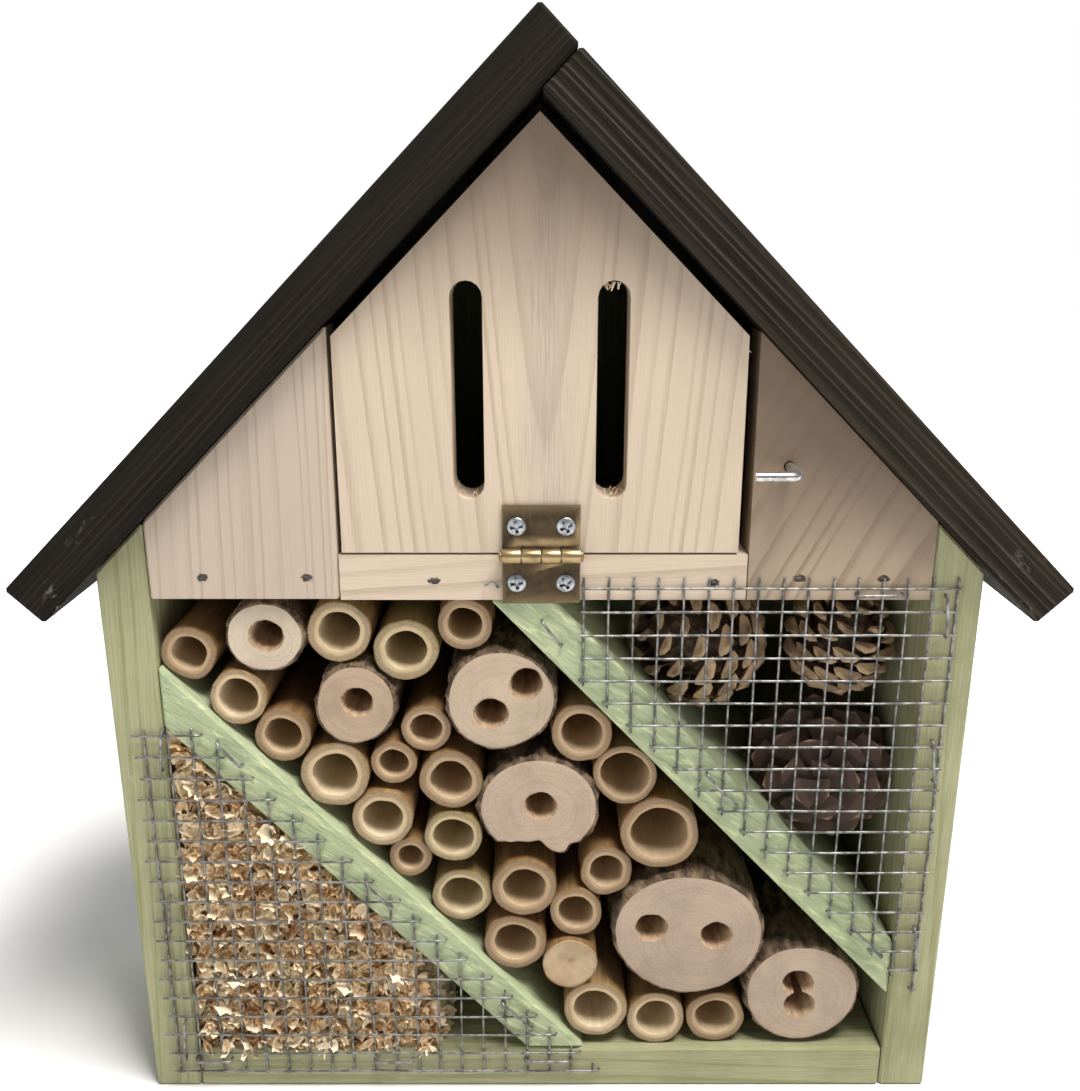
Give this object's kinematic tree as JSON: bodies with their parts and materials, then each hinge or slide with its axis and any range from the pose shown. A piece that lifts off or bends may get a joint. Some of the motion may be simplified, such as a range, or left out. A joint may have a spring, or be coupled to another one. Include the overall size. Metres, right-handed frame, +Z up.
{
  "type": "insect hotel",
  "caption": "Pitched-roof wooden insect hotel with a hinged butterfly door, a slanting stack of drilled logs and bamboo, and meshed pine cone and shavings compartments.",
  "frame": {"origin": "middle of the underside of the bottom board, where the house stands", "axes": "+Z up; the front, with the door and the mesh, faces -Y; +X to the right as seen from the front"},
  "size_m": [0.2678, 0.1041, 0.2895],
  "materials": {
    "green_wood": "sage green wash over sawn pine, grain showing through",
    "stained_wood": "black-brown stain over sawn pine, scuffed at the lower ends",
    "mint_wood": "thin mint green wash over rough-sawn pine",
    "bare_wood": "bare planed pine with cathedral grain",
    "brass": "antique brass plate, worn bright on the knuckles",
    "steel": "bright zinc plate",
    "wire": "galvanised welded wire",
    "bamboo": "sawn bamboo cane, fibrous rings and a smooth skin",
    "log_wood": "sawn end grain with growth rings, bark outside",
    "pine_cone": "open pine cone, tan scale edges and dark hollows",
    "shavings": "loose curled wood wool"
  },
  "bodies": {
    "house": {"bottom_board": "green_wood", "side_board_left": "green_wood", "side_board_right": "green_wood", "shelf_board": "green_wood", "back_panel": "green_wood", "roof_board_left": "stained_wood", "roof_board_right": "stained_wood", "divider_lower": "mint_wood", "divider_upper": "mint_wood", "gable_panel_left": "bare_wood", "gable_panel_right": "bare_wood", "sill_rail": "bare_wood", "door_stop": "bare_wood", "hinge_leaf_lower": "brass", "hinge_pin": "brass", "hinge_screw_lower_1": "steel", "hinge_screw_lower_2": "steel", "hanger_plate": "steel", "mesh_lower": "wire", "mesh_upper": "wire", "bamboo_01": "bamboo", "bamboo_02": "bamboo", "bamboo_03": "bamboo", "bamboo_04": "bamboo", "bamboo_05": "bamboo", "bamboo_06": "bamboo", "bamboo_07": "bamboo", "bamboo_08": "bamboo", "bamboo_09": "bamboo", "bamboo_10": "bamboo", "bamboo_11": "bamboo", "bamboo_12": "bamboo", "bamboo_13": "bamboo", "bamboo_14": "bamboo", "bamboo_15": "bamboo", "bamboo_16": "bamboo", "bamboo_17": "bamboo", "bamboo_18": "bamboo", "bamboo_19": "bamboo", "bamboo_20": "bamboo", "bamboo_21": "bamboo", "bamboo_22": "bamboo", "bamboo_23": "bamboo", "bamboo_24": "bamboo", "bamboo_25": "bamboo", "log_1": "log_wood", "log_2": "log_wood", "log_3": "log_wood", "log_4": "log_wood", "log_5": "log_wood", "log_6": "log_wood", "pine_cone_left": "pine_cone", "pine_cone_lower": "pine_cone", "pine_cone_right": "pine_cone", "wood_shavings": "shavings"},
    "door": {"butterfly_door": "bare_wood", "hinge_leaf_upper": "brass", "hinge_screw_upper_1": "steel", "hinge_screw_upper_2": "steel"},
    "hook": {"l_hook": "steel"}
  },
  "joints": [
    {"name": "door_hinge", "type": "hinge", "parent": "house", "child": "door", "pos_m": [0.0003, -0.0447, 0.1639], "axis": [1, 0, 0], "range_deg": [0, 175]},
    {"name": "hook_turn", "type": "hinge", "parent": "house", "child": "hook", "pos_m": [0.0615, -0.0425, 0.1864], "axis": [0, -1, 0], "range_deg": [-180, 180]}
  ]
}
